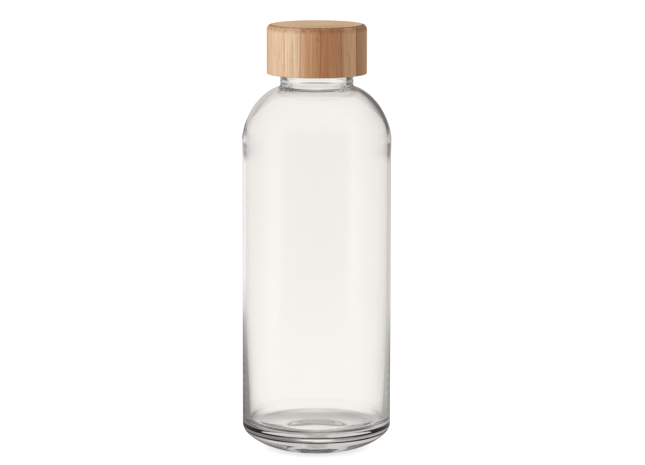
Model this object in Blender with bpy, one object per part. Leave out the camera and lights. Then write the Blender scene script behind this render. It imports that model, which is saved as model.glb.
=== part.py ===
"""Glass water bottle with a turned bamboo screw lid.

Four separate pieces:
  glass_bottle     blown clear glass: pushed-up base, wall, shoulder, neck, thread, lip
  bamboo_lid       turned bamboo shell with a blind bore
  threaded_insert  moulded inner cap, glued into the bore, with the female thread
  seal_ring        silicone ring that the inner cap presses on the mouth

The lid group turns about the bottle's axis and rises one pitch per turn.
Frame: metres, +Z up, origin at the centre of the foot, where it stands.
"""

import math

import bmesh
import bpy

MM = 0.001

# ---------------------------------------------------------------- dimensions
# whole object
TOTAL_H = 215.5 * MM          # foot to the top of the lid

# glass body
BODY_R = 37.5 * MM            # outside of the cylindrical wall
HIGH_SLIM = 0.09 * MM         # the wall is this much slimmer in its upper half
BAND_PROUD = 0.16 * MM        # soft contact band under the shoulder
BAND_Z = 156.5 * MM
BAND_W = 4.5 * MM
WALL = 1.7 * MM               # glass thickness high in the body and in the shoulder
WALL_LOW = 3.55 * MM          # glass thickness just above the base
TAPER_Z = (16.0 * MM, 72.0 * MM)   # the wall thickens downwards between these heights

NECK_R = 18.34 * MM           # outside of the plain neck
NECK_Z = 184.25 * MM          # corner between shoulder and neck
SHOULDER_Z = 158.4 * MM       # where the wall starts to turn in
SHOULDER_DROP = 20.55 * MM    # half-width of the shoulder's oval
SHOULDER_POW = 1.70           # 2 is an ellipse, lower is flatter
FLARE = 1.6 * MM              # rounding from the inner shoulder up to the bore

HEEL_Z = 12.6 * MM            # where the wall starts to turn in to the foot
FOOT_OUT_R = 17.2 * MM        # flat ring that the bottle stands on
FOOT_IN_R = 16.1 * MM
PUSH_UP = 3.4 * MM            # height of the dome under the base
BASE_THICK = 8.5 * MM         # glass at the middle of the heavy base
INNER_HEEL_Z = 17.7 * MM      # where the inner wall turns in to the floor
INNER_HEEL_R = 5.2 * MM       # rounding between the inner wall and the floor

MOUTH_Z = 207.9 * MM          # top of the lip
MOUTH_R = 15.0 * MM           # inside of the mouth
LIP_ROUND = 1.1 * MM

# screw thread, one start, right-handed
PITCH = 4.233 * MM
THREAD_H = 1.2 * MM           # how far the ridge stands out of the neck
THREAD_TOP_Z = 204.9 * MM     # centre of the ridge where it starts
THREAD_TURNS = 1.75
THREAD_ROOT_W = 2.3 * MM      # ridge width at the neck
THREAD_CREST_W = 1.0 * MM

# lid
LID_R = 25.15 * MM
LID_H = 24.85 * MM
LID_RIM_R = 2.6 * MM          # rounding of the top rim
LID_EDGE_R = 0.45 * MM        # rounding of the bottom edge
LID_TOP_T = 3.6 * MM          # bamboo above the bore
BORE_R = 21.9 * MM

# moulded insert
FIT = 0.3 * MM                # gap between touching pieces
INSERT_TOP_T = 1.5 * MM
INSERT_WALL_R = 21.2 * MM     # outside of the plain wall
RIB_H = 0.4 * MM              # glue ribs outside the wall
RIB_W = 1.1 * MM
RIB_COUNT = 24
INSERT_RECESS = 0.6 * MM      # insert's rim above the bamboo's bottom edge
INSERT_ROOT_R = 19.92 * MM    # inside of the plain wall
F_THREAD_CREST_R = 18.72 * MM
F_THREAD_ROOT_W = 2.1 * MM
F_THREAD_CREST_W = 0.9 * MM
F_THREAD_TURNS = 1.5

# seal
SEAL_T = 1.6 * MM
SEAL_OUT_R = 19.55 * MM
SEAL_IN_R = 13.9 * MM

# joint: the lid rises PITCH for each full turn
LID_BOTTOM_Z = TOTAL_H - LID_H

SEG = 48                      # facets round a turned piece
LID_SEG = 64                  # facets round the bamboo shell
THREAD_SEG = 36               # steps of a thread for each turn


# ---------------------------------------------------------------- helpers
def clear_scene():
    for obj in list(bpy.data.objects):
        bpy.data.objects.remove(obj, do_unlink=True)


def material(name, colour, roughness, metallic=0.0, transmission=0.0, ior=1.45):
    mat = bpy.data.materials.new(name)
    mat.use_nodes = True
    shader = mat.node_tree.nodes["Principled BSDF"]
    shader.inputs["Base Color"].default_value = (*colour, 1.0)
    shader.inputs["Roughness"].default_value = roughness
    shader.inputs["Metallic"].default_value = metallic
    shader.inputs["Transmission Weight"].default_value = transmission
    shader.inputs["IOR"].default_value = ior
    mat.diffuse_color = (*colour, 1.0)
    return mat


def new_object(name, mesh, mat, parent=None):
    obj = bpy.data.objects.new(name, mesh)
    bpy.context.scene.collection.objects.link(obj)
    if mat is not None:
        mesh.materials.append(mat)
    if parent is not None:
        obj.parent = parent
    return obj


def arc(cr, cz, radius, a0, a1, n):
    """Points (r, z) on a circle about (cr, cz); angles in degrees from +r."""
    pts = []
    for i in range(n + 1):
        a = math.radians(a0 + (a1 - a0) * i / n)
        pts.append((cr + radius * math.cos(a), cz + radius * math.sin(a)))
    return pts


def bezier(p0, p1, p2, p3, n):
    pts = []
    for i in range(n + 1):
        t = i / n
        s = 1.0 - t
        pts.append(tuple(
            s ** 3 * a + 3 * s * s * t * b + 3 * s * t * t * c + t ** 3 * d
            for a, b, c, d in zip(p0, p1, p2, p3)))
    return pts


def tidy(pts, tol=0.02 * MM):
    """Drop points that repeat the one before."""
    out = []
    for p in pts:
        if not out or math.dist(out[-1], p) > tol:
            out.append(p)
    if len(out) > 2 and math.dist(out[0], out[-1]) < tol:
        out.pop()
    return out


def turned(name, profile, mat, parent=None, closed=False, seg=SEG):
    """Turn an (r, z) profile about Z with a Screw modifier.

    The profile runs down the outer side and back up the inner side. An open
    profile starts and ends on the axis; a closed one goes round a ring."""
    mesh = bpy.data.meshes.new(name)
    bm = bmesh.new()
    verts = [bm.verts.new((r, 0.0, z)) for r, z in profile]
    pairs = list(zip(verts, verts[1:]))
    if closed:
        pairs.append((verts[-1], verts[0]))
    for a, b in pairs:
        bm.edges.new((a, b))
    bm.to_mesh(mesh)
    bm.free()
    obj = new_object(name, mesh, mat, parent)
    screw = obj.modifiers.new("Turn", "SCREW")
    screw.axis = "Z"
    screw.angle = 2.0 * math.pi
    screw.steps = seg
    screw.render_steps = seg
    screw.use_merge_vertices = True
    screw.merge_threshold = 0.00001
    screw.use_smooth_shade = True
    return obj


def smooth(t):
    t = min(1.0, max(0.0, t))
    return t * t * (3.0 - 2.0 * t)


def thread_mesh(name, root_r, crest_r, bury_r, root_w, crest_w, z_start, turns,
                fade_turns, per_turn=THREAD_SEG, phase=0.0):
    """A closed ridge along a right-hand helix that runs down from z_start.

    bury_r is the radius of the hidden edge inside the wall. At both ends the
    ridge sinks back into the wall over fade_turns."""
    mesh = bpy.data.meshes.new(name)
    bm = bmesh.new()
    steps = int(round(turns * per_turn))
    rings = []
    for i in range(steps + 1):
        turn = i / per_turn
        # seen from above the ridge runs down clockwise
        ang = phase - 2.0 * math.pi * turn
        z = z_start - PITCH * turn
        f = smooth(turn / fade_turns) * smooth((turns - turn) / fade_turns)
        sunk = root_r + (bury_r - root_r) * 0.45
        tip = sunk + (crest_r - sunk) * f
        wide = 0.35 + 0.65 * f
        prof = [
            (bury_r, -0.5 * root_w * wide),
            (root_r if f > 0.999 else min(root_r, tip) if crest_r > root_r else max(root_r, tip),
             -0.5 * root_w * wide),
            (tip, -0.5 * crest_w * wide),
            (tip, 0.5 * crest_w * wide),
            (root_r if f > 0.999 else min(root_r, tip) if crest_r > root_r else max(root_r, tip),
             0.5 * root_w * wide),
            (bury_r, 0.5 * root_w * wide),
        ]
        rings.append([bm.verts.new((r * math.cos(ang), r * math.sin(ang), z + dz))
                      for r, dz in prof])
    n = len(rings[0])
    for a, b in zip(rings, rings[1:]):
        for k in range(n):
            m = (k + 1) % n
            bm.faces.new((a[k], a[m], b[m], b[k]))
    bm.faces.new(rings[0])
    bm.faces.new(list(reversed(rings[-1])))
    bmesh.ops.recalc_face_normals(bm, faces=bm.faces)
    bm.to_mesh(mesh)
    bm.free()
    return mesh


def guide(name, mesh, parent=None):
    """A shape that only feeds a Boolean."""
    obj = new_object(name, mesh, None, parent)
    obj.hide_render = True
    obj.display_type = "WIRE"
    return obj


def join_with(obj, other, label):
    mod = obj.modifiers.new(label, "BOOLEAN")
    mod.operation = "UNION"
    mod.solver = "EXACT"
    mod.object = other


# ---------------------------------------------------------------- glass bottle
def shoulder_curve(inset, n):
    """Oval shoulder, offset inwards by inset, from the neck corner down."""
    a = SHOULDER_DROP
    cr = BODY_R - a
    c_neck = (NECK_R - cr) / a
    s_neck = (1.0 - c_neck ** SHOULDER_POW) ** (1.0 / SHOULDER_POW)
    b = (NECK_Z - SHOULDER_Z) / s_neck
    pts = []
    for i in range(n + 1):
        # even steps of angle from the neck (steep end first)
        u0 = math.acos(c_neck ** (SHOULDER_POW / 2.0))
        u = u0 * (1.0 - i / n)
        c = math.cos(u) ** (2.0 / SHOULDER_POW)
        s = math.sin(u) ** (2.0 / SHOULDER_POW)
        pts.append((cr + a * c, SHOULDER_Z + b * s))
    if inset:
        pts = offset_curve(pts, inset)
    return pts


def offset_curve(pts, dist):
    """Shift an (r, z) polyline that runs down the outer side inwards."""
    out = []
    for i, (r, z) in enumerate(pts):
        r0, z0 = pts[max(i - 1, 0)]
        r1, z1 = pts[min(i + 1, len(pts) - 1)]
        tr, tz = r1 - r0, z1 - z0
        length = math.hypot(tr, tz)
        out.append((r + dist * tz / length, z - dist * tr / length))
    return out


def body_radius(z):
    """Outside of the wall at height z."""
    high = min(max((z - 60.0 * MM) / (60.0 * MM), 0.0), 1.0)
    band = math.exp(-((z - BAND_Z) / BAND_W) ** 2)
    return BODY_R - HIGH_SLIM * high * high * (3.0 - 2.0 * high) + BAND_PROUD * band


def inner_radius(z):
    """Inside of the wall at height z."""
    lo, hi = TAPER_Z
    t = 1.0 - min(max((z - lo) / (hi - lo), 0.0), 1.0)
    return BODY_R - 0.07 * MM - WALL - (WALL_LOW - WALL) * t ** 1.6


def heel_curve(n):
    return bezier((BODY_R, HEEL_Z), (BODY_R, HEEL_Z * 0.42),
                  (FOOT_OUT_R + 3.4 * MM, 0.0), (FOOT_OUT_R, 0.0), n)


def bottle_profile():
    outer = []
    # lip and neck, from the mouth outwards and down
    outer += arc(MOUTH_R + LIP_ROUND, MOUTH_Z - LIP_ROUND, LIP_ROUND, 180, 90, 3)
    outer += arc(NECK_R - LIP_ROUND, MOUTH_Z - LIP_ROUND, LIP_ROUND, 90, 0, 3)
    outer += [(NECK_R, NECK_Z + 0.75 * MM), (NECK_R + 0.14 * MM, NECK_Z + 0.27 * MM)]
    # shoulder
    outer += [p for p in shoulder_curve(0.0, 11)[1:-1] if p[0] > NECK_R + 0.6 * MM]
    # wall with its contact band
    for z in (SHOULDER_Z, BAND_Z, 153.0 * MM, 148.0 * MM, 115.0 * MM, 85.0 * MM, 60.0 * MM):
        outer.append((body_radius(z), z))
    # heel, foot ring and push-up
    outer += heel_curve(8)
    outer += [(FOOT_IN_R, 0.0)]
    outer += [(r, z) for r, z in bezier((FOOT_IN_R, 0.0), (FOOT_IN_R - 3.2 * MM, 0.0),
                                        (FOOT_IN_R * 0.52, PUSH_UP), (0.0, PUSH_UP), 6)][1:]
    # inside: floor, inner heel, wall, inner shoulder, bore of the neck
    floor_z = PUSH_UP + BASE_THICK
    turn_r = inner_radius(INNER_HEEL_Z) - INNER_HEEL_R
    edge_z = INNER_HEEL_Z - INNER_HEEL_R
    inner = [(0.0, floor_z), (0.3 * turn_r, floor_z + 0.1 * (edge_z - floor_z)),
             (0.7 * turn_r, floor_z + 0.5 * (edge_z - floor_z))]
    inner += arc(turn_r, INNER_HEEL_Z, INNER_HEEL_R, -90, 0, 5)
    for z in (26.0 * MM, 38.0 * MM, 52.0 * MM, 72.0 * MM, 152.0 * MM):
        inner.append((inner_radius(z), z))
    inside = [p for p in reversed(shoulder_curve(WALL, 10)) if p[0] > MOUTH_R + FLARE]
    inner += [(r - 0.07 * MM * max(0.0, 1.0 - (z - SHOULDER_Z) / (14.0 * MM)), z)
              for r, z in inside]
    r_end, z_end = inner[-1]
    inner += bezier((r_end, z_end), (r_end - 0.6 * FLARE, z_end + 0.2 * FLARE),
                    (MOUTH_R, z_end + 0.35 * FLARE), (MOUTH_R, z_end + 1.3 * FLARE), 3)[1:]
    return tidy(outer), tidy(inner)


def build_bottle(mat):
    outer, inner = bottle_profile()
    # the loop: down the outside, along the axis, up the inside to the lip
    profile = outer + inner
    obj = turned_loop("glass_bottle", profile, mat)
    ridge = thread_mesh("neck_thread_guide", NECK_R, NECK_R + THREAD_H, NECK_R - 0.7 * MM,
                        THREAD_ROOT_W, THREAD_CREST_W, THREAD_TOP_Z, THREAD_TURNS, 0.12,
                        phase=math.radians(40.0))
    join_with(obj, guide("neck_thread_guide", ridge), "Thread")
    return obj


def turned_loop(name, profile, mat, parent=None, seg=SEG):
    """A turned solid whose profile meets the axis twice, under and inside."""
    mesh = bpy.data.meshes.new(name)
    bm = bmesh.new()
    verts = [bm.verts.new((r, 0.0, z)) for r, z in profile]
    n = len(verts)
    for i in range(n):
        a, b = verts[i], verts[(i + 1) % n]
        if a.co.x < 1e-7 and b.co.x < 1e-7:
            continue                       # no edge along the axis
        bm.edges.new((a, b))
    bm.to_mesh(mesh)
    bm.free()
    obj = new_object(name, mesh, mat, parent)
    screw = obj.modifiers.new("Turn", "SCREW")
    screw.axis = "Z"
    screw.angle = 2.0 * math.pi
    screw.steps = seg
    screw.render_steps = seg
    screw.use_merge_vertices = True
    screw.merge_threshold = 0.00001
    screw.use_smooth_shade = True
    return obj


# ---------------------------------------------------------------- lid group
def build_bamboo(mat, parent):
    top = TOTAL_H
    bottom = LID_BOTTOM_Z
    ceiling = top - LID_TOP_T
    profile = [(0.0, top)]
    profile += arc(LID_R - LID_RIM_R, top - LID_RIM_R, LID_RIM_R, 90, 0, 8)
    profile += [(LID_R, top - 0.5 * LID_H)]
    profile += arc(LID_R - LID_EDGE_R, bottom + LID_EDGE_R, LID_EDGE_R, 0, -90, 3)
    profile += [(BORE_R + 0.4 * MM, bottom), (BORE_R, bottom + 0.4 * MM)]
    profile += [(BORE_R, ceiling - 0.8 * MM), (BORE_R - 0.8 * MM, ceiling), (0.0, ceiling)]
    return turned("bamboo_lid", tidy(profile), mat, parent, seg=LID_SEG)


def build_insert(mat, parent):
    top = TOTAL_H - LID_TOP_T - FIT
    under = top - INSERT_TOP_T
    rim = LID_BOTTOM_Z + INSERT_RECESS
    profile = [(0.0, top), (INSERT_WALL_R - 0.9 * MM, top), (INSERT_WALL_R, top - 0.9 * MM)]
    profile += [(INSERT_WALL_R, rim + 0.3 * MM), (INSERT_WALL_R - 0.3 * MM, rim)]
    profile += [(INSERT_ROOT_R + 0.4 * MM, rim), (INSERT_ROOT_R, rim + 0.5 * MM)]
    profile += [(INSERT_ROOT_R, under - 0.2 * MM), (INSERT_ROOT_R - 0.2 * MM, under), (0.0, under)]
    obj = turned("threaded_insert", tidy(profile), mat, parent)

    # female ridge, half a pitch below the male one where they face each other
    z0 = THREAD_TOP_Z - 0.5 * PITCH - 0.25 * PITCH
    ridge = thread_mesh("insert_thread_guide", INSERT_ROOT_R, F_THREAD_CREST_R,
                        INSERT_ROOT_R + 0.7 * MM, F_THREAD_ROOT_W, F_THREAD_CREST_W,
                        z0, F_THREAD_TURNS, 0.12, phase=math.radians(40.0 - 90.0))
    join_with(obj, guide("insert_thread_guide", ridge, parent), "Thread")

    # glue ribs: plain bars half sunk in the wall
    bars = bpy.data.meshes.new("insert_rib_guide")
    bm = bmesh.new()
    z_lo, z_hi = rim + 1.6 * MM, top - 2.2 * MM
    for k in range(RIB_COUNT):
        a = 2.0 * math.pi * (k + 0.5) / RIB_COUNT
        ca, sa = math.cos(a), math.sin(a)
        ring = []
        for r, t in ((INSERT_WALL_R - 0.5 * MM, -0.5 * RIB_W),
                     (INSERT_WALL_R + RIB_H, -0.28 * RIB_W),
                     (INSERT_WALL_R + RIB_H, 0.28 * RIB_W),
                     (INSERT_WALL_R - 0.5 * MM, 0.5 * RIB_W)):
            ring.append((r * ca - t * sa, r * sa + t * ca))
        low = [bm.verts.new((x, y, z_lo)) for x, y in ring]
        high = [bm.verts.new((x, y, z_hi)) for x, y in ring]
        bm.faces.new(list(reversed(low)))
        bm.faces.new(high)
        for i in range(4):
            j = (i + 1) % 4
            bm.faces.new((low[i], low[j], high[j], high[i]))
    bmesh.ops.recalc_face_normals(bm, faces=bm.faces)
    bm.to_mesh(bars)
    bm.free()
    join_with(obj, guide("insert_rib_guide", bars, parent), "Ribs")
    return obj


def build_seal(mat, parent):
    top = TOTAL_H - LID_TOP_T - FIT - INSERT_TOP_T - FIT
    low = top - SEAL_T
    e = 0.25 * MM
    profile = [(SEAL_IN_R + e, top), (SEAL_OUT_R - e, top), (SEAL_OUT_R, top - e),
               (SEAL_OUT_R, low + e), (SEAL_OUT_R - e, low), (SEAL_IN_R + e, low),
               (SEAL_IN_R, low + e), (SEAL_IN_R, top - e)]
    return turned("seal_ring", profile, mat, parent, closed=True)


def empty(name, parent=None):
    obj = bpy.data.objects.new(name, None)
    obj.empty_display_size = 0.02
    bpy.context.scene.collection.objects.link(obj)
    obj.parent = parent
    return obj


def main():
    clear_scene()
    glass = material("clear_glass", (0.93, 0.95, 0.94), 0.03, transmission=1.0, ior=1.5)
    bamboo = material("bamboo", (0.58, 0.38, 0.22), 0.55)
    plastic = material("white_plastic", (0.86, 0.85, 0.81), 0.42)
    silicone = material("silicone", (0.82, 0.83, 0.82), 0.6)

    build_bottle(glass)
    lift = empty("lid_lift_axis")            # slides up +Z
    turn = empty("lid_turn_axis", lift)      # turns about +Z
    build_seal(silicone, lift)
    build_bamboo(bamboo, turn)
    build_insert(plastic, turn)


main()
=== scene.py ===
"""Looks for the glass water bottle: fine glass, bamboo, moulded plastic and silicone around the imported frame."""

import math

import bmesh
import bpy
import numpy as np
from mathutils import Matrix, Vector


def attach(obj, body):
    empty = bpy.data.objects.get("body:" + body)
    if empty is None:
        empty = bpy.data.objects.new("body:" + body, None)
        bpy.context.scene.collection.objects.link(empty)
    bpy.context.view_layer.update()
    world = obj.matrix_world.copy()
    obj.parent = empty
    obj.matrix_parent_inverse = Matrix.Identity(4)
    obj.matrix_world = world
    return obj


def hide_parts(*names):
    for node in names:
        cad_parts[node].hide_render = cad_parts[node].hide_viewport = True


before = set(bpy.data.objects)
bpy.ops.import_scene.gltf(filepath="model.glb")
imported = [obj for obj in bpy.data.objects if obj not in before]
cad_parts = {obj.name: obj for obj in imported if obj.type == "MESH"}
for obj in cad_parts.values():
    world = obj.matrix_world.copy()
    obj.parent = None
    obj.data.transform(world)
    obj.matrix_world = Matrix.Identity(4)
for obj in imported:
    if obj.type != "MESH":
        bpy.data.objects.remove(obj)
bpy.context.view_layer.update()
MM = 0.001

# ------------------------------------------------------------------ sizes, as in the frame
TOTAL_H = 215.5
BODY_R, BAND, BAND_Z, BAND_W = 37.5, 0.16, 156.5, 4.5
WALL, WALL_LOW, WALL_SHOULDER = 1.7, 3.55, 1.7
TAPER_LO, TAPER_HI = 16.0, 72.0
NECK_R, NECK_Z = 18.34, 184.25
SHOULDER_Z, SHOULDER_DROP, SHOULDER_POW = 158.4, 20.55, 1.70
NECK_RING, NECK_RING_Z, FLARE = 0.06, 187.0, 1.6
HEEL_TOP, FOOT_OUT, FOOT_IN = 12.6, 17.2, 16.1
PUSH_UP, BASE_T = 3.4, 8.5
INNER_HEEL_Z, INNER_HEEL_R = 17.7, 5.2
MOUTH_Z, MOUTH_R, LIP = 207.9, 15.0, 1.1
PITCH = 4.233
THREAD_H, THREAD_TOP, THREAD_TURNS = 1.2, 204.9, 1.75
PHASE = math.radians(40.0)
LID_R, LID_H, RIM_R, EDGE_R, LID_TOP_T, BORE_R = 25.15, 24.85, 2.6, 0.45, 3.6, 21.9
FIT = 0.3
INS_TOP_T, INS_R, RIB_H, RIB_W, RIBS, INS_RECESS, INS_ROOT = 1.5, 21.2, 0.4, 1.1, 24, 0.6, 19.92
F_CREST, F_TURNS = 18.72, 1.5
SEAL_T, SEAL_OUT, SEAL_IN = 1.6, 19.55, 13.9
LID_BOTTOM = TOTAL_H - LID_H

SEG = 192


# ------------------------------------------------------------------ camera
def make_camera():
    data = bpy.data.cameras.new("photo_view")
    cam = bpy.data.objects.new("photo_view", data)
    bpy.context.scene.collection.objects.link(cam)
    cam.location = (0.00257, -1.7000, 0.3627)
    cam.rotation_euler = (math.radians(90.0 - 8.453), -0.0015, 0.0)
    data.sensor_width = 36.0
    data.lens = 190.06
    data.clip_start, data.clip_end = 0.05, 60.0
    data.dof.use_dof = False
    bpy.context.scene.camera = cam


# ------------------------------------------------------------------ mesh tools
def smooth(t):
    t = np.clip(t, 0.0, 1.0)
    return t * t * (3.0 - 2.0 * t)


def arc(cr, cz, radius, a0, a1, n):
    return [(cr + radius * math.cos(math.radians(a0 + (a1 - a0) * i / n)),
             cz + radius * math.sin(math.radians(a0 + (a1 - a0) * i / n))) for i in range(n + 1)]


def bezier(p0, p1, p2, p3, n):
    out = []
    for i in range(n + 1):
        t = i / n
        s = 1.0 - t
        out.append(tuple(s ** 3 * a + 3 * s * s * t * b + 3 * s * t * t * c + t ** 3 * d
                         for a, b, c, d in zip(p0, p1, p2, p3)))
    return out


def line(p0, p1, n):
    return [(p0[0] + (p1[0] - p0[0]) * i / n, p0[1] + (p1[1] - p0[1]) * i / n)
            for i in range(n + 1)]


def tidy(pts, tol=0.004):
    out = []
    for p in pts:
        if not out or math.dist(out[-1], p) > tol:
            out.append(p)
    if math.dist(out[0], out[-1]) < tol:
        out.pop()
    return out


def offset_curve(pts, dist):
    out = []
    for i in range(len(pts)):
        r0, z0 = pts[max(i - 1, 0)]
        r1, z1 = pts[min(i + 1, len(pts) - 1)]
        tr, tz = r1 - r0, z1 - z0
        length = math.hypot(tr, tz)
        out.append((pts[i][0] + dist * tz / length, pts[i][1] - dist * tr / length))
    return out


def turned(name, loop, shape=None, seg=SEG, sharp=None):
    """A closed solid of revolution. loop runs down the outside and up the inside in (r, z) mm.
    shape(theta, r, z) gives the changed radius, for threads and ribs."""
    loop = tidy(loop)
    theta = np.linspace(0.0, 2.0 * math.pi, seg, endpoint=False)
    verts, rows = [], []
    for r, z in loop:
        if r < 1e-6:
            rows.append([len(verts)] * seg)
            verts.append((0.0, 0.0, z * MM))
            continue
        rr = np.full(seg, float(r)) if shape is None else shape(theta, r, z)
        rows.append(list(range(len(verts), len(verts) + seg)))
        verts += [(a * math.cos(t) * MM, a * math.sin(t) * MM, z * MM) for a, t in zip(rr, theta)]
    faces = []
    n = len(loop)
    for i in range(n):
        a, b = rows[i], rows[(i + 1) % n]
        if a[0] == a[1 % seg] and b[0] == b[1 % seg]:
            continue
        for k in range(seg):
            m = (k + 1) % seg
            quad = [a[k], b[k], b[m], a[m]]
            face = []
            for v in quad:
                if v not in face:
                    face.append(v)
            if len(face) > 2:
                faces.append(face)
    mesh = bpy.data.meshes.new(name)
    mesh.from_pydata(verts, [], faces)
    mesh.validate()
    mesh.update()
    mesh.shade_smooth()
    if sharp:
        mesh.set_sharp_from_angle(angle=math.radians(sharp))
    obj = bpy.data.objects.new(name, mesh)
    bpy.context.scene.collection.objects.link(obj)
    return obj


def helix_height(theta, z, phase, z_start, turns, half_root, half_crest, fade=0.12):
    """0 to 1: how much of the thread's ridge is at each angle of height z."""
    out = np.zeros_like(theta)
    base = ((phase - theta) / (2.0 * math.pi)) % 1.0
    for k in range(int(math.ceil(turns)) + 1):
        turn = base + k
        centre = z_start - PITCH * turn
        f = smooth(turn / fade) * smooth((turns - turn) / fade)
        d = np.abs(z - centre)
        out = np.maximum(out, f * smooth((half_root - d) / (half_root - half_crest)))
    return out


# ------------------------------------------------------------------ glass bottle
def shoulder_curve(n):
    a = SHOULDER_DROP
    cr = BODY_R - a
    c_neck = (NECK_R - cr) / a
    s_neck = (1.0 - c_neck ** SHOULDER_POW) ** (1.0 / SHOULDER_POW)
    b = (NECK_Z - SHOULDER_Z) / s_neck
    pts = []
    u0 = math.acos(c_neck ** (SHOULDER_POW / 2.0))
    for i in range(n + 1):
        u = u0 * (1.0 - i / n)
        c = math.cos(u) ** (2.0 / SHOULDER_POW)
        s = math.sin(u) ** (2.0 / SHOULDER_POW)
        pts.append((cr + a * c, SHOULDER_Z + b * s))
    return pts


def body_radius(z):
    """Outer radius of the body's wall: a touch narrower high up, with a soft contact band
    under the shoulder."""
    high = min(max((z - 60.0) / 60.0, 0.0), 1.0)
    band = math.exp(-((z - BAND_Z) / BAND_W) ** 2)
    return BODY_R - 0.09 * high * high * (3.0 - 2.0 * high) + BAND * band


def inner_radius(z):
    """Inner radius of the body's wall: the wall thickens towards the base."""
    t = 1.0 - min(max((z - TAPER_LO) / (TAPER_HI - TAPER_LO), 0.0), 1.0)
    return BODY_R - 0.07 - WALL - (WALL_LOW - WALL) * t ** 1.6


def bottle_loop():
    outer = []
    outer += arc(MOUTH_R + LIP, MOUTH_Z - LIP, LIP, 180, 90, 8)
    outer += arc(NECK_R - LIP, MOUTH_Z - LIP, LIP, 90, 0, 8)
    outer += line((NECK_R, MOUTH_Z - LIP - 0.2), (NECK_R, 192.0), 110)
    outer += line((NECK_R, 192.0), (NECK_R, NECK_RING_Z + 0.5), 8)
    outer += [(NECK_R + NECK_RING * math.cos(math.pi * k / 10.0) ** 2, NECK_RING_Z - 0.08 * k)
              for k in range(-5, 6)]
    outer += line((NECK_R, NECK_RING_Z - 0.5), (NECK_R, NECK_Z + 0.75), 5)
    outer += [(NECK_R + 0.04, NECK_Z + 0.50), (NECK_R + 0.14, NECK_Z + 0.27),
              (NECK_R + 0.34, NECK_Z + 0.04)]
    sh = [p for p in shoulder_curve(90) if p[0] > NECK_R + 0.6]
    outer += [(r + body_radius(z) - BODY_R, z) if z < 170.0 else (r + (body_radius(z) - BODY_R)
              * max(0.0, (176.0 - z) / 6.0), z) for r, z in sh]
    outer += [(body_radius(z), z) for z in np.linspace(SHOULDER_Z - 0.8, HEEL_TOP + 0.6, 120)]
    r_low = body_radius(HEEL_TOP)
    outer += bezier((r_low, HEEL_TOP), (r_low, HEEL_TOP * 0.42), (FOOT_OUT + 3.4, 0.0),
                    (FOOT_OUT, 0.0), 52)
    outer += [(FOOT_OUT - 0.4, 0.0), (FOOT_IN + 0.4, 0.0)]
    outer += bezier((FOOT_IN, 0.0), (FOOT_IN - 3.2, 0.0), (FOOT_IN * 0.52, PUSH_UP),
                    (0.0, PUSH_UP), 48)
    floor_z = PUSH_UP + BASE_T
    turn_r = inner_radius(INNER_HEEL_Z) - INNER_HEEL_R
    edge_z = INNER_HEEL_Z - INNER_HEEL_R
    inner = bezier((0.0, floor_z), (0.35 * turn_r, floor_z), (0.75 * turn_r, edge_z),
                   (turn_r, edge_z), 28)
    inner += arc(turn_r, INNER_HEEL_Z, INNER_HEEL_R, -90, 0, 28)
    inner += [(inner_radius(z), z) for z in np.linspace(INNER_HEEL_Z + 1.0, 152.0, 70)]
    inside = [p for p in reversed(offset_curve(shoulder_curve(90), WALL_SHOULDER))
              if p[0] > MOUTH_R + FLARE]
    inner += [(r - (WALL - WALL_SHOULDER + 0.07) * max(0.0, 1.0 - (z - SHOULDER_Z) / 14.0), z)
              for r, z in inside]
    r_end, z_end = inner[-1]
    inner += bezier((r_end, z_end), (r_end - FLARE * 0.6, z_end + 0.2 * FLARE),
                    (MOUTH_R, z_end + 0.35 * FLARE), (MOUTH_R, z_end + 1.3 * FLARE), 16)[1:]
    inner += line((MOUTH_R, z_end + 1.3 * FLARE + 0.5), (MOUTH_R, MOUTH_Z - LIP - 0.3), 10)
    return outer + inner


def thread_out(theta, r, z):
    rr = np.full(len(theta), float(r))
    if r > NECK_R - 0.01 and z > 192.0 and r < NECK_R + 0.01:
        rr += THREAD_H * helix_height(theta, z, PHASE, THREAD_TOP, THREAD_TURNS, 1.2, 0.42)
    return rr


# ------------------------------------------------------------------ lid pieces
def lid_loop():
    top, low, ceiling = TOTAL_H, LID_BOTTOM, TOTAL_H - LID_TOP_T
    loop = line((0.0, top), (LID_R - RIM_R - 0.2, top), 24)
    loop += arc(LID_R - RIM_R, top - RIM_R, RIM_R, 90, 0, 20)
    loop += line((LID_R, top - RIM_R - 0.4), (LID_R, low + EDGE_R + 0.2), 24)
    loop += arc(LID_R - EDGE_R, low + EDGE_R, EDGE_R, 0, -90, 6)
    loop += [(BORE_R + 1.2, low), (BORE_R + 0.45, low)]
    loop += arc(BORE_R + 0.4, low + 0.4, 0.4, 270, 180, 5)
    loop += line((BORE_R, low + 0.8), (BORE_R, ceiling - 0.9), 10)
    loop += [(BORE_R - 0.8, ceiling), (BORE_R - 3.0, ceiling), (0.0, ceiling)]
    return loop


def insert_loop():
    top = TOTAL_H - LID_TOP_T - FIT
    under = top - INS_TOP_T
    rim = LID_BOTTOM + INS_RECESS
    loop = [(0.0, top), (INS_R - 1.5, top), (INS_R - 0.9, top), (INS_R, top - 0.9)]
    loop += line((INS_R, top - 1.2), (INS_R, top - 2.1), 3)
    loop += line((INS_R, top - 2.2), (INS_R, rim + 1.6), 4)
    loop += [(INS_R, rim + 1.5), (INS_R, rim + 0.4), (INS_R - 0.12, rim + 0.1), (INS_R - 0.35, rim)]
    loop += [(INS_ROOT + 0.6, rim), (INS_ROOT + 0.3, rim + 0.06), (INS_ROOT + 0.06, rim + 0.3)]
    loop += line((INS_ROOT, rim + 0.6), (INS_ROOT, under - 0.5), 120)
    loop += [(INS_ROOT - 0.06, under - 0.2), (INS_ROOT - 0.3, under), (INS_ROOT - 1.0, under),
             (12.0, under), (0.0, under)]
    return loop


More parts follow.
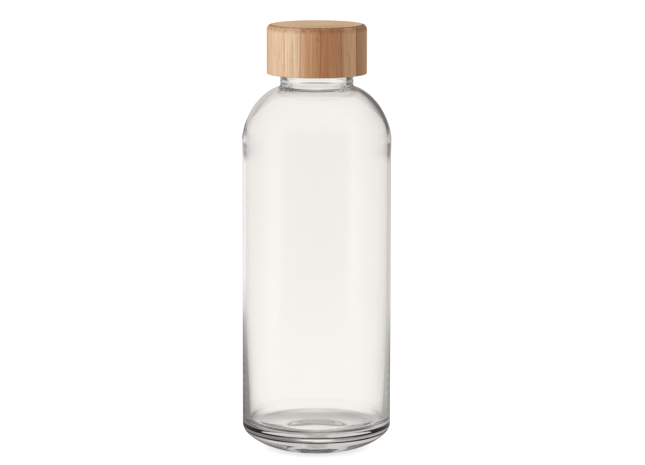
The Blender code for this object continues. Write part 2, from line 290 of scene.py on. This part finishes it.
def insert_shape(theta, r, z):
    rr = np.full(len(theta), float(r))
    top = TOTAL_H - LID_TOP_T - FIT
    rim = LID_BOTTOM + INS_RECESS
    if abs(r - INS_R) < 1e-3 and rim + 1.55 < z < top - 2.15:
        step = 2.0 * math.pi / RIBS
        off = (np.abs(((theta / step) % 1.0) - 0.5)) * step * INS_R
        rr += RIB_H * smooth((0.5 * RIB_W - off) / (0.22 * RIB_W))
    if abs(r - INS_ROOT) < 1e-3:
        z0 = THREAD_TOP - 0.75 * PITCH
        rr -= (INS_ROOT - F_CREST) * helix_height(theta, z, PHASE - math.radians(90.0), z0,
                                                  F_TURNS, 1.05, 0.4)
    return rr


def seal_loop():
    top = TOTAL_H - LID_TOP_T - FIT - INS_TOP_T - FIT
    low = top - SEAL_T
    e = 0.25
    loop = line((SEAL_IN + e, top), (SEAL_OUT - e, top), 6)
    loop += arc(SEAL_OUT - e, top - e, e, 90, 0, 5) + arc(SEAL_OUT - e, low + e, e, 0, -90, 5)
    # two fine sealing beads under the ring
    for c in (15.2, 17.6):
        loop += [(c + 0.5, low), (c + 0.3, low - 0.06), (c, low - 0.1), (c - 0.3, low - 0.06),
                 (c - 0.5, low)]
    loop = sorted_loop(loop)
    loop += arc(SEAL_IN + e, low + e, e, 270, 180, 5) + arc(SEAL_IN + e, top - e, e, 180, 90, 5)
    return loop


def sorted_loop(loop):
    """The beads under the seal run inwards, from the outer one to the inner one."""
    head = [p for p in loop if p[1] > loop[0][1] - SEAL_T + 0.001]
    tail = sorted([p for p in loop if p[1] <= loop[0][1] - SEAL_T + 0.001], key=lambda p: -p[0])
    return head + tail


# ------------------------------------------------------------------ materials
def nodes_of(name):
    mat = bpy.data.materials.new(name)
    mat.use_nodes = True
    nt = mat.node_tree
    return mat, nt, nt.nodes["Principled BSDF"]


def ramp_of(nt, value, stops, interpolation="EASE"):
    """A colour ramp that reads value (0 to 1). stops are (place, grey or colour)."""
    node = nt.nodes.new("ShaderNodeValToRGB")
    ramp = node.color_ramp
    ramp.interpolation = interpolation
    first, last = stops[0], stops[-1]
    ramp.elements[0].position, ramp.elements[1].position = first[0], last[0]
    for place, _ in stops[1:-1]:
        ramp.elements.new(place)
    for el, (_, tone) in zip(ramp.elements, stops):
        el.color = (*tone, 1.0) if isinstance(tone, tuple) else (tone, tone, tone, 1.0)
    nt.links.new(value, node.inputs["Fac"])
    return node.outputs["Color"]


def math_node(nt, op, a, b=None, c=None, clamp=False):
    node = nt.nodes.new("ShaderNodeMath")
    node.operation = op
    node.use_clamp = clamp
    for i, v in enumerate((a, b, c)):
        if v is None:
            continue
        if isinstance(v, (int, float)):
            node.inputs[i].default_value = v
        else:
            nt.links.new(v, node.inputs[i])
    return node.outputs[0]


def mix_color(nt, fac, a, b, blend="MIX"):
    node = nt.nodes.new("ShaderNodeMix")
    node.data_type = "RGBA"
    node.blend_type = blend
    sockets = {"Factor": node.inputs["Factor"]}
    for socket in node.inputs:
        if socket.type == "RGBA":
            sockets[socket.name] = socket
    for name, value in (("Factor", fac), ("A", a), ("B", b)):
        if isinstance(value, (int, float, tuple)):
            sockets[name].default_value = value
        else:
            nt.links.new(value, sockets[name])
    for socket in node.outputs:
        if socket.type == "RGBA":
            return socket


def fade(nt, value, lo, hi, low, high):
    """low at lo, high at hi, smooth in between and level outside."""
    node = nt.nodes.new("ShaderNodeMapRange")
    node.interpolation_type = "SMOOTHSTEP"
    for name, v in (("From Min", lo), ("From Max", hi), ("To Min", low), ("To Max", high)):
        node.inputs[name].default_value = v
    nt.links.new(value, node.inputs["Value"])
    return node.outputs["Result"]


def noise(nt, coord, stretch, scale, detail=2.0, rough=0.5):
    """Noise in object space, in metres; stretch is the scale of x, y and z."""
    mapping = nt.nodes.new("ShaderNodeMapping")
    mapping.inputs["Scale"].default_value = stretch
    nt.links.new(coord, mapping.inputs["Vector"])
    node = nt.nodes.new("ShaderNodeTexNoise")
    node.inputs["Scale"].default_value = scale
    node.inputs["Detail"].default_value = detail
    node.inputs["Roughness"].default_value = rough
    nt.links.new(mapping.outputs[0], node.inputs["Vector"])
    return node.outputs["Fac"]


def object_space(nt):
    coord = nt.nodes.new("ShaderNodeTexCoord").outputs["Object"]
    sep = nt.nodes.new("ShaderNodeSeparateXYZ")
    nt.links.new(coord, sep.inputs[0])
    return coord, sep.outputs["X"], sep.outputs["Y"], sep.outputs["Z"]


def glass_material():
    mat, nt, p = nodes_of("clear_glass")
    p.inputs["Base Color"].default_value = (0.988, 0.987, 0.983, 1.0)
    p.inputs["Transmission Weight"].default_value = 1.0
    p.inputs["IOR"].default_value = 1.5
    p.inputs["Roughness"].default_value = 0.0
    # the faint up-and-down waviness of blown glass
    coord, _, _, _ = object_space(nt)
    wave = noise(nt, coord, (1.0, 1.0, 0.12), 60.0, 1.0)
    bump = nt.nodes.new("ShaderNodeBump")
    bump.inputs["Strength"].default_value = 0.35
    bump.inputs["Distance"].default_value = 0.00012
    nt.links.new(wave, bump.inputs["Height"])
    nt.links.new(bump.outputs[0], p.inputs["Normal"])
    return mat


def plain(name, colour, rough, grain):
    """Moulded plastic or silicone: one colour with a fine mottling in its gloss."""
    mat, nt, p = nodes_of(name)
    coord, _, _, _ = object_space(nt)
    spots = noise(nt, coord, (1.0, 1.0, 1.0), grain, 3.0)
    nt.links.new(mix_color(nt, spots, tuple(0.97 * c for c in colour) + (1.0,),
                           tuple(min(1.0, 1.03 * c) for c in colour) + (1.0,)),
                 p.inputs["Base Color"])
    nt.links.new(fade(nt, spots, 0.3, 0.7, rough - 0.05, rough + 0.05), p.inputs["Roughness"])
    bump = nt.nodes.new("ShaderNodeBump")
    bump.inputs["Strength"].default_value = 0.15
    bump.inputs["Distance"].default_value = 0.00005
    nt.links.new(spots, bump.inputs["Height"])
    nt.links.new(bump.outputs[0], p.inputs["Normal"])
    return mat


# strips of bamboo glued side by side, in mm across the lid: where each starts, and its colour
# at its left and right side
STRIPS_FRONT = [(-27.0, (0.595, 0.42, 0.27), (0.605, 0.445, 0.305)),
                (-16.2, (0.61, 0.455, 0.32), (0.50, 0.355, 0.23)),
                (-8.2, (0.455, 0.285, 0.16), (0.37, 0.185, 0.08)),
                (1.7, (0.345, 0.155, 0.070), (0.385, 0.20, 0.092)),
                (12.2, (0.44, 0.235, 0.125), (0.69, 0.43, 0.25)),
                (19.6, (0.43, 0.225, 0.105), (0.66, 0.38, 0.20))]
STRIPS_MIDDLE = [(-27.0, (0.62, 0.385, 0.205), (0.64, 0.42, 0.235)),
                 (-20.4, (0.66, 0.46, 0.285), (0.64, 0.44, 0.27)),
                 (-10.6, (0.61, 0.40, 0.23), (0.60, 0.375, 0.205)),
                 (-1.2, (0.68, 0.48, 0.30), (0.66, 0.45, 0.275)),
                 (8.9, (0.59, 0.365, 0.20), (0.62, 0.395, 0.22)),
                 (18.1, (0.67, 0.46, 0.28), (0.65, 0.43, 0.25))]
STRIPS_BACK = [(-27.0, (0.62, 0.41, 0.235), (0.64, 0.43, 0.25)),
               (-14.9, (0.57, 0.355, 0.19), (0.60, 0.38, 0.21)),
               (-4.3, (0.67, 0.47, 0.30), (0.65, 0.45, 0.28)),
               (5.4, (0.61, 0.40, 0.225), (0.59, 0.37, 0.20)),
               (14.6, (0.66, 0.46, 0.28), (0.64, 0.43, 0.265)),
               (22.0, (0.59, 0.37, 0.205), (0.59, 0.37, 0.205))]
ROW_EDGES = (-6.5, 11.0)


def strip_row(nt, x, strips):
    """The strips' colour across x (in metres), and how near x is to a glue line."""
    place = math_node(nt, "MULTIPLY_ADD", x, 1000.0 / 54.0, 0.5)
    stops = []
    for i, (at, left, right) in enumerate(strips):
        end = strips[i + 1][0] if i + 1 < len(strips) else 27.0
        stops += [((at + 27.1) / 54.0, left), ((end + 26.9) / 54.0, right)]
    tone = ramp_of(nt, place, stops, "LINEAR")
    near = None
    for at, _, _ in strips[1:]:
        gap = math_node(nt, "ABSOLUTE", math_node(nt, "SUBTRACT", x, at * MM))
        near = gap if near is None else math_node(nt, "MINIMUM", near, gap)
    return tone, near


def bamboo_material():
    mat, nt, p = nodes_of("bamboo")
    coord, x, y, z = object_space(nt)
    # strips never run dead straight
    drift = noise(nt, coord, (1.0, 1.0, 1.0), 55.0, 1.0)
    x = math_node(nt, "ADD", x, math_node(nt, "MULTIPLY_ADD", drift, 0.0006, -0.0003))

    front, near_f = strip_row(nt, x, STRIPS_FRONT)
    middle, near_m = strip_row(nt, x, STRIPS_MIDDLE)
    back, near_b = strip_row(nt, x, STRIPS_BACK)
    in_middle = math_node(nt, "GREATER_THAN", y, ROW_EDGES[0] * MM)
    in_back = math_node(nt, "GREATER_THAN", y, ROW_EDGES[1] * MM)
    tone = mix_color(nt, in_back, mix_color(nt, in_middle, front, middle), back)
    near = math_node(nt, "ADD", math_node(nt, "MULTIPLY", near_f,
                                          math_node(nt, "SUBTRACT", 1.0, in_middle)),
                     math_node(nt, "MULTIPLY", near_m,
                               math_node(nt, "SUBTRACT", in_middle, in_back)))
    near = math_node(nt, "ADD", near, math_node(nt, "MULTIPLY", near_b, in_back))
    for at in ROW_EDGES:
        gap = math_node(nt, "ABSOLUTE", math_node(nt, "SUBTRACT", y, at * MM))
        near = math_node(nt, "MINIMUM", near, gap)
    glue = fade(nt, near, 0.00006, 0.00024, 1.0, 0.0)

    # fibres run up and down; cut across on the top they show as dots
    broad = noise(nt, coord, (1.0, 1.0, 0.035), 520.0, 3.0, 0.6)
    fine = noise(nt, coord, (1.0, 1.0, 0.02), 1700.0, 2.0, 0.6)
    dots = noise(nt, coord, (1.0, 1.0, 0.05), 2300.0, 1.0)
    wide = noise(nt, coord, (1.0, 1.0, 0.25), 110.0, 1.0)
    tone = mix_color(nt, fade(nt, wide, 0.35, 0.68, 0.0, 0.16), tone,
                     mix_color(nt, 1.0, tone, (0.80, 0.70, 0.60, 1.0), "MULTIPLY"))
    tone = mix_color(nt, fade(nt, broad, 0.38, 0.62, 0.42, 0.0), tone,
                     mix_color(nt, 1.0, tone, (0.78, 0.66, 0.55, 1.0), "MULTIPLY"))
    tone = mix_color(nt, fade(nt, fine, 0.36, 0.64, 0.50, 0.0), tone,
                     mix_color(nt, 1.0, tone, (0.72, 0.60, 0.50, 1.0), "MULTIPLY"))
    tone = mix_color(nt, fade(nt, fine, 0.58, 0.74, 0.0, 0.35), tone,
                     mix_color(nt, 1.0, tone, (1.22, 1.25, 1.30, 1.0), "MULTIPLY"))
    dash = fade(nt, dots, 0.66, 0.74, 0.0, 0.65)
    tone = mix_color(nt, dash, tone, mix_color(nt, 1.0, tone, (0.42, 0.30, 0.22, 1.0), "MULTIPLY"))
    tone = mix_color(nt, math_node(nt, "MULTIPLY", glue, 0.75), tone,
                     mix_color(nt, 1.0, tone, (0.42, 0.26, 0.20, 1.0), "MULTIPLY"))

    # the top is end grain: more even from strip to strip, and mottled
    on_top = fade(nt, z, (TOTAL_H - 0.9) * MM, (TOTAL_H - 0.05) * MM, 0.0, 1.0)
    tone = mix_color(nt, math_node(nt, "MULTIPLY", on_top, 0.62), tone, (0.66, 0.46, 0.29, 1.0))
    mottle = noise(nt, coord, (1.0, 1.0, 0.2), 950.0, 2.0, 0.65)
    tone = mix_color(nt, math_node(nt, "MULTIPLY", on_top,
                                   fade(nt, mottle, 0.38, 0.62, 0.70, 0.05)), tone,
                     mix_color(nt, 1.0, tone, (0.80, 0.72, 0.64, 1.0), "MULTIPLY"))

    tone = mix_color(nt, math_node(nt, "MULTIPLY", on_top, 1.0), tone,
                     mix_color(nt, 1.0, tone, (1.04, 0.98, 0.84, 1.0), "MULTIPLY"))

    # the rounded rim is rougher where the cut runs across the fibres, and painted darker: partly the cut fibres'
    # own tone, partly painted shade where the rim turns down from the top
    radius = math_node(nt, "SQRT", math_node(nt, "ADD", math_node(nt, "MULTIPLY", x, x),
                                             math_node(nt, "MULTIPLY", y, y)))
    high = fade(nt, z, (TOTAL_H - 3.6) * MM, (TOTAL_H - 1.2) * MM, 0.0, 1.0)
    out = fade(nt, radius, 0.0222, 0.0232, 0.0, 1.0)
    rim = math_node(nt, "MULTIPLY", high, out)
    flecks = fade(nt, broad, 0.42, 0.60, 0.30, 0.95)
    tone = mix_color(nt, math_node(nt, "MULTIPLY", rim, flecks), tone,
                     mix_color(nt, 1.0, tone, (0.58, 0.47, 0.38, 1.0), "MULTIPLY"))
    # painted shade: a dark line round the upper rim, stronger on the right, the side away from the key light
    ring = math_node(nt, "MULTIPLY", fade(nt, radius, 0.0227, 0.0231, 0.0, 1.0),
                     fade(nt, radius, 0.0236, 0.0242, 1.0, 0.0))
    ring = math_node(nt, "MULTIPLY", ring, high)
    ring = math_node(nt, "MULTIPLY", ring, fade(nt, broad, 0.35, 0.60, 0.65, 1.0))
    ring = math_node(nt, "MULTIPLY", ring, fade(nt, x, -0.022, 0.020, 0.65, 1.0))
    tone = mix_color(nt, ring, tone, mix_color(nt, 1.0, tone, (0.34, 0.20, 0.12, 1.0), "MULTIPLY"))

    # a small slanting mark in the grain at the front
    u = math_node(nt, "SUBTRACT", x, 0.0004)
    v = math_node(nt, "SUBTRACT", z, (TOTAL_H - 6.0) * MM)
    along = math_node(nt, "ABSOLUTE", math_node(nt, "SUBTRACT", u, v))
    across = math_node(nt, "ABSOLUTE", math_node(nt, "ADD", u, math_node(nt, "MULTIPLY", v, 0.8)))
    mark = math_node(nt, "MULTIPLY", fade(nt, along, 0.0008, 0.0026, 1.0, 0.0),
                     fade(nt, across, 0.00015, 0.0005, 1.0, 0.0))
    mark = math_node(nt, "MULTIPLY", mark, math_node(nt, "LESS_THAN", y, -0.015))
    tone = mix_color(nt, math_node(nt, "MULTIPLY", mark, 0.6), tone,
                     mix_color(nt, 1.0, tone, (0.5, 0.36, 0.28, 1.0), "MULTIPLY"))
    nt.links.new(tone, p.inputs["Base Color"])

    gloss = math_node(nt, "ADD", fade(nt, fine, 0.3, 0.7, 0.52, 0.40),
                      math_node(nt, "MULTIPLY", rim, 0.15))
    nt.links.new(gloss, p.inputs["Roughness"])
    height = math_node(nt, "ADD", math_node(nt, "MULTIPLY", fine, 0.5),
                       math_node(nt, "MULTIPLY", broad, 0.5))
    height = math_node(nt, "SUBTRACT", height, math_node(nt, "MULTIPLY", dash, 0.35))
    height = math_node(nt, "SUBTRACT", height, math_node(nt, "MULTIPLY", glue, 0.25))
    bump = nt.nodes.new("ShaderNodeBump")
    bump.inputs["Strength"].default_value = 0.30
    bump.inputs["Distance"].default_value = 0.00018
    nt.links.new(height, bump.inputs["Height"])
    nt.links.new(bump.outputs[0], p.inputs["Normal"])
    return mat


# ------------------------------------------------------------------ studio
def around(nt, x, y):
    """Angle round the bottle as 0 to 1: 0.5 is straight behind it, 0.25 its left, 0.75 its right."""
    angle = math_node(nt, "ARCTAN2", x, y)
    return math_node(nt, "MULTIPLY_ADD", angle, 1.0 / (2.0 * math.pi), 0.5)


# how bright the room is round the bottle, from its front-left edge through the back to the
# front-right edge: softboxes at both front sides, grey beside and behind them; FAR is the room
# and the floor beyond 35 cm, NEAR is the floor beside the bottle
ROOM_FAR = [(0.0, 0.16), (0.14, 0.22), (0.175, 0.85), (0.215, 0.85), (0.25, 0.60), (0.36, 0.75),
            (0.44, 0.95), (0.485, 0.75), (0.50, 0.85), (0.511, 0.42), (0.56, 0.66), (0.70, 0.30),
            (0.80, 0.22), (0.84, 0.35), (0.87, 0.35), (0.90, 0.20), (1.0, 0.16)]
ROOM_NEAR = [(0.0, 0.30), (0.14, 0.35), (0.25, 0.35), (0.36, 0.28), (0.455, 0.24),
             (0.485, 0.40), (0.50, 0.70), (0.511, 0.40), (0.545, 0.62), (0.70, 0.45), (0.87, 0.25), (1.0, 0.30)]
# the floor beyond 1.5 m, and the room's walls
ROOM_WIDE = [(0.0, 0.16), (0.14, 0.22), (0.175, 0.85), (0.215, 0.85), (0.25, 0.50), (0.36, 0.22),
             (0.455, 0.20), (0.480, 0.60), (0.520, 0.60), (0.545, 0.16), (0.70, 0.12),
             (0.80, 0.14), (0.84, 0.35), (0.87, 0.35), (0.90, 0.20), (1.0, 0.16)]
ROOM_HIGH = [(0.0, 0.16), (0.14, 0.22), (0.175, 0.85), (0.215, 0.85), (0.25, 0.60), (0.36, 0.62),
             (0.455, 0.62), (0.485, 0.60), (0.50, 0.75), (0.510, 0.25), (0.545, 0.16), (0.70, 0.12),
             (0.80, 0.14), (0.84, 0.35), (0.87, 0.35), (0.90, 0.20), (1.0, 0.16)]
# what the thick glass of the heel and the shoulder bends into view from above the horizon
ROOM_BENT = [(0.0, 0.30), (0.20, 0.50), (0.25, 0.40), (0.40, 0.22), (0.462, 0.30), (0.485, 0.90),
             (0.515, 0.90), (0.538, 0.25), (0.60, 0.20), (0.80, 0.30), (1.0, 0.30)]
# painted shadow on the floor under the bottle, from its front to behind it, as seen through the glass
SHADOW_UNDER = [(0.0, 1.0), (0.30, 1.0), (0.417, 0.75), (0.50, 0.52), (0.60, 0.42), (0.667, 0.45), (0.75, 0.72),
         (0.867, 0.90), (1.0, 0.96)]
THROUGH = (0.975, 0.942, 0.912, 1.0)
AMBIENT = (0.42, 0.42, 0.42, 1.0)
MIRRORED = (1.0, 0.965, 0.935, 1.0)


def ray_pick(nt, seen, through, mirrored, lighting=None):
    """One of three colours: what the camera sees directly, what it sees through the glass, and
    what is mirrored in it."""
    path = nt.nodes.new("ShaderNodeLightPath")
    is_through = math_node(nt, "GREATER_THAN", path.outputs["Transmission Depth"], 0.5)
    is_mirror = math_node(nt, "GREATER_THAN", path.outputs["Glossy Depth"], 0.5)
    is_lighting = math_node(nt, "GREATER_THAN", path.outputs["Diffuse Depth"], 0.5)
    first = mix_color(nt, is_through, seen, through)
    first = mix_color(nt, is_mirror, first, mirrored)
    return mix_color(nt, is_lighting, first, AMBIENT if lighting is None else lighting)


def make_studio():
    scene = bpy.context.scene
    scene.view_settings.view_transform = "Standard"
    # light takes many turns inside thick clear glass
    scene.cycles.max_bounces = 40
    scene.cycles.glossy_bounces = 32
    scene.cycles.transmission_bounces = 32

    world = bpy.data.worlds.new("studio")
    scene.world = world
    world.use_nodes = True
    nt = world.node_tree
    bg = nt.nodes["Background"]
    bg.inputs["Strength"].default_value = 1.0
    coord = nt.nodes.new("ShaderNodeTexCoord")
    sep = nt.nodes.new("ShaderNodeSeparateXYZ")
    nt.links.new(coord.outputs["Generated"], sep.inputs[0])
    room = ramp_of(nt, around(nt, sep.outputs["X"], sep.outputs["Y"]), ROOM_HIGH)
    over = nt.nodes.new("ShaderNodeMapRange")
    over.interpolation_type = "SMOOTHSTEP"
    over.inputs["From Min"].default_value = 0.25
    over.inputs["From Max"].default_value = 0.75
    nt.links.new(sep.outputs["Z"], over.inputs["Value"])
    room = mix_color(nt, over.outputs["Result"], room, (0.70, 0.70, 0.70, 1.0))
    room = mix_color(nt, 1.0, room, MIRRORED, "MULTIPLY")
    bent = ramp_of(nt, around(nt, sep.outputs["X"], sep.outputs["Y"]), ROOM_BENT)
    bent = mix_color(nt, over.outputs["Result"], bent, (0.80, 0.80, 0.80, 1.0))
    bent = mix_color(nt, 1.0, bent, THROUGH, "MULTIPLY")
    ambient = mix_color(nt, fade(nt, sep.outputs["Z"], 0.1, 0.9, 0.0, 1.0),
                        (0.36, 0.36, 0.36, 1.0), (0.80, 0.80, 0.80, 1.0))
    nt.links.new(ray_pick(nt, (1.0, 1.0, 1.0, 1.0), bent, room, ambient), bg.inputs["Color"])

    # floor: plain pale paper, which what is mirrored in the glass sees with the room's shades
    mesh = bpy.data.meshes.new("floor")
    bm = bmesh.new()
    bmesh.ops.create_grid(bm, x_segments=1, y_segments=1, size=12.0)
    bm.to_mesh(mesh)
    bm.free()
    floor = bpy.data.objects.new("floor", mesh)
    scene.collection.objects.link(floor)
    floor.location = (0.0, 0.0, -0.0002)
    mat = bpy.data.materials.new("floor_paper")
    mat.use_nodes = True
    nt = mat.node_tree
    nt.nodes.remove(nt.nodes["Principled BSDF"])
    out = nt.nodes["Material Output"]
    geo = nt.nodes.new("ShaderNodeNewGeometry")
    sep = nt.nodes.new("ShaderNodeSeparateXYZ")
    nt.links.new(geo.outputs["Position"], sep.inputs[0])
    turn = around(nt, sep.outputs["X"], sep.outputs["Y"])
    reach = nt.nodes.new("ShaderNodeVectorMath")
    reach.operation = "LENGTH"
    nt.links.new(geo.outputs["Position"], reach.inputs[0])
    steps = []
    for lo, hi in ((0.03, 0.07), (0.12, 0.55), (1.15, 1.6)):
        far = nt.nodes.new("ShaderNodeMapRange")
        far.inputs["From Min"].default_value = lo
        far.inputs["From Max"].default_value = hi
        nt.links.new(reach.outputs["Value"], far.inputs["Value"])
        steps.append(far.outputs["Result"])
    room = mix_color(nt, steps[1], ramp_of(nt, turn, ROOM_NEAR), ramp_of(nt, turn, ROOM_FAR))
    room = mix_color(nt, steps[2], room, ramp_of(nt, turn, ROOM_WIDE))
    room = mix_color(nt, steps[0], (0.6, 0.6, 0.6, 1.0), room)
    room = mix_color(nt, 1.0, room, MIRRORED, "MULTIPLY")
    # the floor is dim under the bottle, with a lighter streak where light comes through it
    width = math_node(nt, "ABSOLUTE", math_node(nt, "SUBTRACT", sep.outputs["X"], 0.003))

    lit = math_node(nt, "MAXIMUM", fade(nt, reach.outputs["Value"], 0.030, 0.042, 0.15, 1.0),
                    fade(nt, width, 0.006, 0.020, 0.85, 0.15))
    lit = math_node(nt, "MAXIMUM", lit, fade(nt, sep.outputs["Y"], -0.004, 0.012, 0.15, 0.62))
    lit = math_node(nt, "MULTIPLY", lit, fade(nt, reach.outputs["Value"], 0.045, 0.100, 0.60, 1.0))
    # painted contact shadow on the floor round the base, where the camera sees the floor directly
    painted_contact_shadow = fade(nt, reach.outputs["Value"], 0.018, 0.034, 0.66, 1.0)
    # painted shadow on the floor under and behind the bottle, as the inner floor shows it through the glass, from
    # the front to 5 cm behind the bottle's axis, and a painted shadow beside the bottle as well
    deep = math_node(nt, "MULTIPLY_ADD", sep.outputs["Y"], 1.0 / 0.06, 0.01 / 0.06)
    deep = math_node(nt, "MAXIMUM", ramp_of(nt, deep, SHADOW_UNDER),
                     fade(nt, reach.outputs["Value"], 0.05, 0.10, 0.0, 1.0))
    side = fade(nt, math_node(nt, "ABSOLUTE", sep.outputs["X"]), 0.028, 0.046, 1.0, 0.72)
    side = math_node(nt, "MAXIMUM", side, fade(nt, reach.outputs["Value"], 0.05, 0.10, 0.60, 1.0))
    deep = mix_color(nt, 1.0, deep, side, "MULTIPLY")
    through = mix_color(nt, 1.0, tuple(0.82 * c for c in THROUGH[:3]) + (1.0,), deep, "MULTIPLY")
    seen = mix_color(nt, 1.0, (0.90, 0.90, 0.90, 1.0), painted_contact_shadow, "MULTIPLY")
    room = mix_color(nt, 1.0, room, lit, "MULTIPLY")
    glow_tone = ray_pick(nt, seen, through, room)
    paper_tone = ray_pick(nt, (0.30, 0.30, 0.30, 1.0),
                          tuple(0.30 * c for c in THROUGH[:3]) + (1.0,), (0.0, 0.0, 0.0, 1.0))
    diffuse = nt.nodes.new("ShaderNodeBsdfDiffuse")
    nt.links.new(paper_tone, diffuse.inputs["Color"])
    glow = nt.nodes.new("ShaderNodeEmission")
    nt.links.new(glow_tone, glow.inputs["Color"])
    paper = nt.nodes.new("ShaderNodeAddShader")
    nt.links.new(diffuse.outputs[0], paper.inputs[0])
    nt.links.new(glow.outputs[0], paper.inputs[1])
    nt.links.new(paper.outputs[0], out.inputs["Surface"])
    mesh.materials.append(mat)

    key = bpy.data.lights.new("key_left", "AREA")
    key.shape = "RECTANGLE"
    key.size, key.size_y = 0.5, 0.8
    key.energy = 13.0
    key.use_shadow = False
    ko = bpy.data.objects.new("key_left", key)
    scene.collection.objects.link(ko)
    ko.location = (-0.70, -0.84, 0.65)
    ko.visible_glossy = False
    ko.visible_transmission = False
    aim(ko, (0.0, 0.0, 0.16))


def aim(obj, target):
    d = Vector(target) - obj.location
    obj.rotation_euler = d.to_track_quat("-Z", "Y").to_euler()


# ------------------------------------------------------------------ build
make_camera()
make_studio()

bottle = turned("bottle_glass", bottle_loop(), thread_out)
bottle.data.materials.append(glass_material())
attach(bottle, "bottle")
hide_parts("glass_bottle")

lid = turned("bamboo_shell", lid_loop(), sharp=50)
lid.data.materials.append(bamboo_material())
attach(lid, "lid")
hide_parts("bamboo_lid")

insert = turned("insert_plastic", insert_loop(), insert_shape, seg=288, sharp=50)
insert.data.materials.append(plain("white_plastic", (0.86, 0.85, 0.81), 0.38, 1400.0))
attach(insert, "lid")
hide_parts("threaded_insert")

seal = turned("seal_silicone", seal_loop(), sharp=50)
seal.data.materials.append(plain("silicone", (0.80, 0.81, 0.80), 0.5, 900.0))
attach(seal, "seal")
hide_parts("seal_ring")
